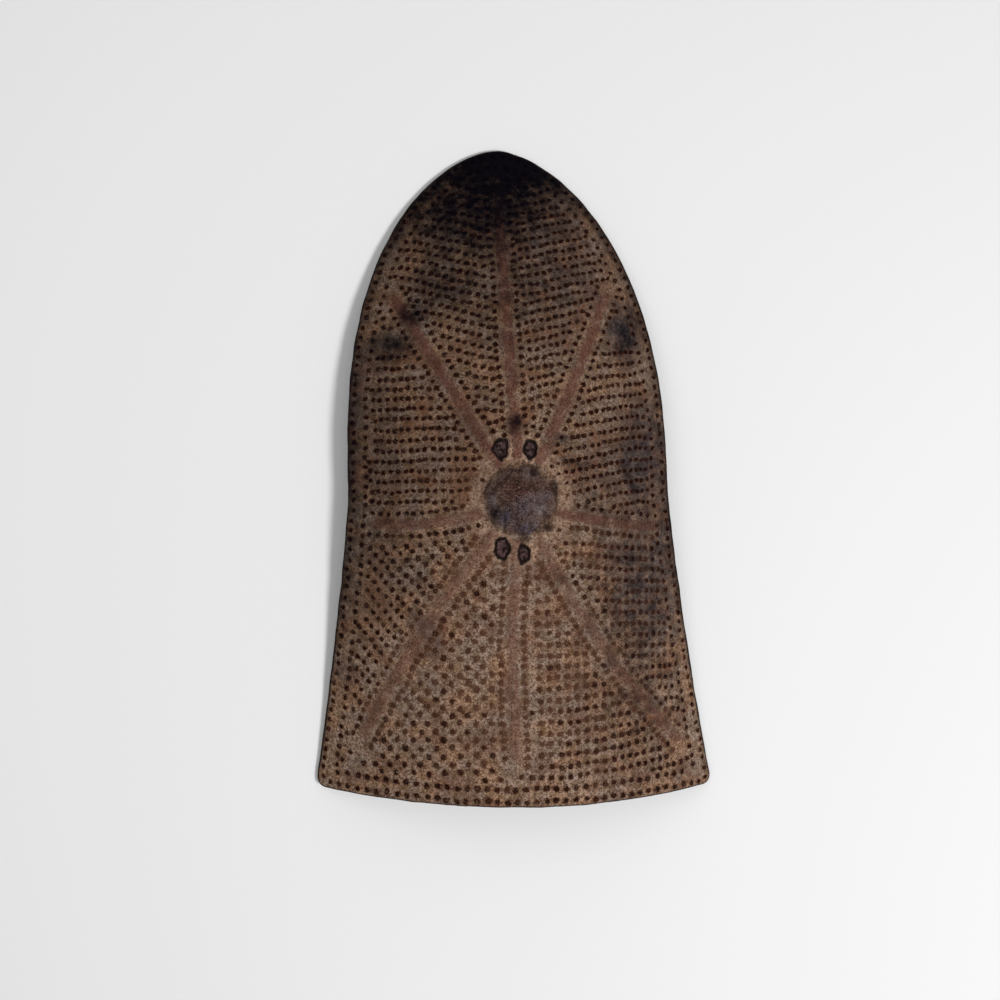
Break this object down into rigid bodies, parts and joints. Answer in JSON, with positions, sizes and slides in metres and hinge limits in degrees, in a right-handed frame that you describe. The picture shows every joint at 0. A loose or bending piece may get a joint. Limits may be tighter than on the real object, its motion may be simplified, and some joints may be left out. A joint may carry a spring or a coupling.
{
  "type": "hide shield",
  "caption": "Moulded hide shield lying face up: arched top, flared base, hollow boss, raised bands radiating between fields of embossed knobs, rawhide hand grip behind the boss.",
  "frame": {"origin": "middle of the bounding box in X and Y, on the surface that the shield lies on", "axes": "+Z out of the embossed face, +Y along the length towards the arched top, X across the width"},
  "size_m": [0.5598, 0.9078, 0.1476],
  "materials": {
    "hide": "worn, dusty grey-tan with dark knobs and reddish bands",
    "grip": "dark, greasy rawhide"
  },
  "bodies": {
    "root": {"hide": "hide", "grip": "grip"}
  },
  "joints": []
}
